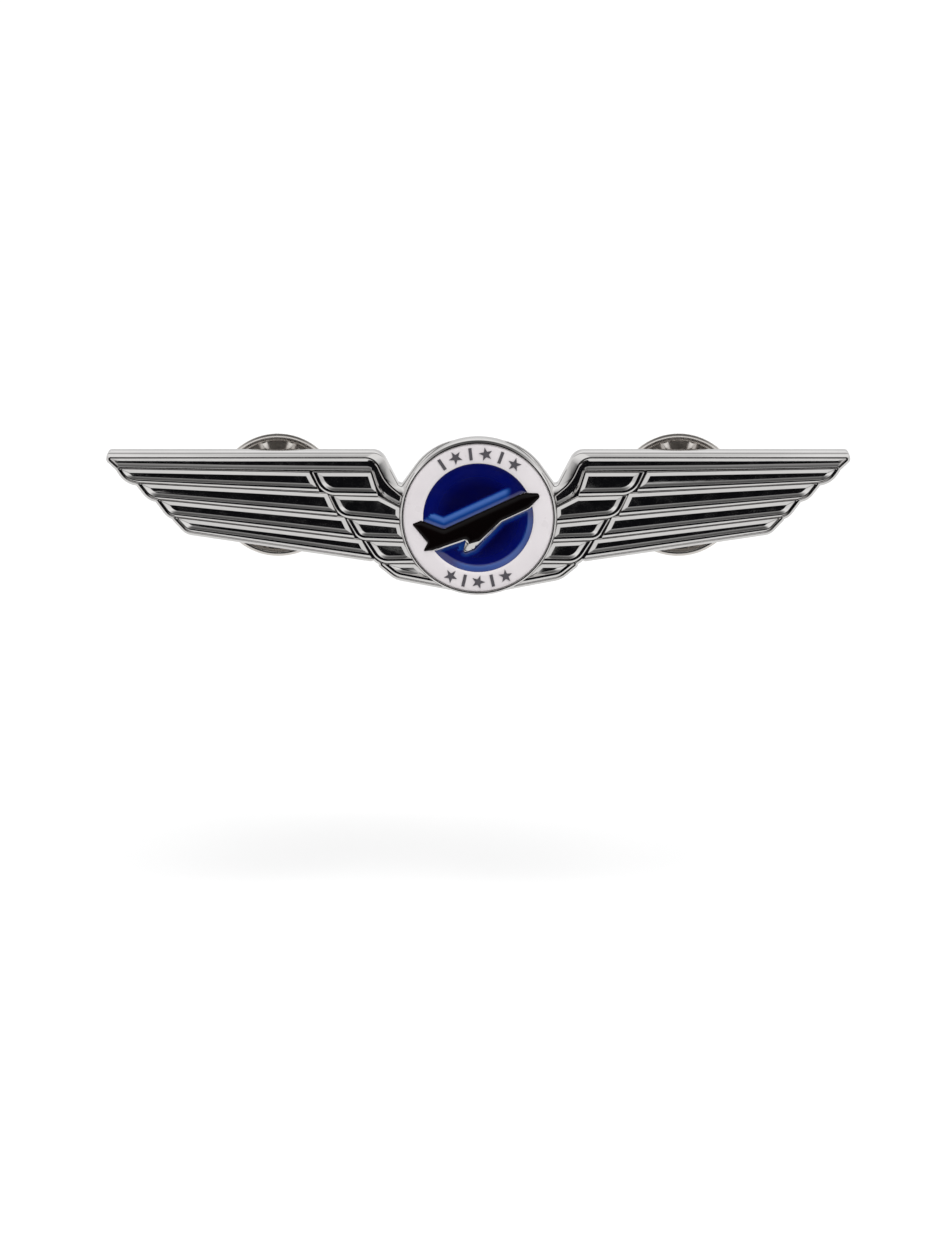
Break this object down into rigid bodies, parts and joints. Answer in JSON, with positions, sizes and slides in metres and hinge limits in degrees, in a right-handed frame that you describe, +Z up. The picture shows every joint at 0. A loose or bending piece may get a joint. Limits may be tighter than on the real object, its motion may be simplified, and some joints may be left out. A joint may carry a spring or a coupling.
{
  "type": "pilot wings pin",
  "caption": "Metal wings badge with an enamelled aircraft medallion, pinned through cloth by two needle posts that sprung butterfly clutches grip from behind.",
  "frame": {"origin": "the medallion's centre on the badge's flat back face", "axes": "+X along the wings, +Y out of the back along the posts, +Z up as the pin is worn; the decorated front faces -Y"},
  "size_m": [0.07, 0.0122, 0.0148],
  "materials": {
    "nickel_plating": "polished",
    "white_enamel": "glossy",
    "blue_enamel": "glossy",
    "black_enamel": "glossy",
    "grey_print": "matte",
    "post_steel": "satin",
    "clutch_plating": "polished",
    "spring_strip": "bright rolled"
  },
  "bodies": {
    "badge": {"badge_casting": "nickel_plating", "white_ring_enamel": "white_enamel", "blue_enamel_upper": "blue_enamel", "blue_enamel_lower": "blue_enamel", "black_aircraft_enamel": "black_enamel", "ring_marks": "grey_print", "post_left": "post_steel", "post_right": "post_steel"},
    "collar_left": {"clutch_collar_left": "clutch_plating"},
    "clutch_left": {"clutch_disc_left": "clutch_plating", "clutch_bridge_left": "spring_strip"},
    "outer_arm_left": {"clutch_arm_outer_left": "spring_strip"},
    "inner_arm_left": {"clutch_arm_inner_left": "spring_strip"},
    "collar_right": {"clutch_collar_right": "clutch_plating"},
    "clutch_right": {"clutch_disc_right": "clutch_plating", "clutch_bridge_right": "spring_strip"},
    "outer_arm_right": {"clutch_arm_outer_right": "spring_strip"},
    "inner_arm_right": {"clutch_arm_inner_right": "spring_strip"}
  },
  "joints": [
    {"name": "clutch_slide_left", "type": "slide", "parent": "badge", "child": "collar_left", "axis": [0, 1, 0], "range_m": [-0.0014, 0.01]},
    {"name": "clutch_spin_left", "type": "hinge", "parent": "collar_left", "child": "clutch_left", "pos_m": [-0.019, 0.0029, 0.00135], "axis": [0, 1, 0], "continuous": true},
    {"name": "outer_arm_squeeze_left", "type": "hinge", "parent": "clutch_left", "child": "outer_arm_left", "pos_m": [-0.0219, 0.00385, 0.00135], "axis": [0, 0, 1], "range_deg": [0, 10], "stiffness_Nm_per_rad": 0.1},
    {"name": "inner_arm_squeeze_left", "type": "hinge", "parent": "clutch_left", "child": "inner_arm_left", "pos_m": [-0.0161, 0.00385, 0.00135], "axis": [0, 0, -1], "range_deg": [0, 10], "stiffness_Nm_per_rad": 0.1},
    {"name": "clutch_slide_right", "type": "slide", "parent": "badge", "child": "collar_right", "axis": [0, 1, 0], "range_m": [-0.0014, 0.01]},
    {"name": "clutch_spin_right", "type": "hinge", "parent": "collar_right", "child": "clutch_right", "pos_m": [0.019, 0.0029, 0.00135], "axis": [0, 1, 0], "continuous": true},
    {"name": "outer_arm_squeeze_right", "type": "hinge", "parent": "clutch_right", "child": "outer_arm_right", "pos_m": [0.0161, 0.00385, 0.00135], "axis": [0, 0, 1], "range_deg": [0, 10], "stiffness_Nm_per_rad": 0.1},
    {"name": "inner_arm_squeeze_right", "type": "hinge", "parent": "clutch_right", "child": "inner_arm_right", "pos_m": [0.0219, 0.00385, 0.00135], "axis": [0, 0, -1], "range_deg": [0, 10], "stiffness_Nm_per_rad": 0.1}
  ],
  "couplings": [
    {"joint": "inner_arm_squeeze_left", "follows": "outer_arm_squeeze_left", "ratio": 1},
    {"joint": "inner_arm_squeeze_right", "follows": "outer_arm_squeeze_right", "ratio": 1}
  ]
}
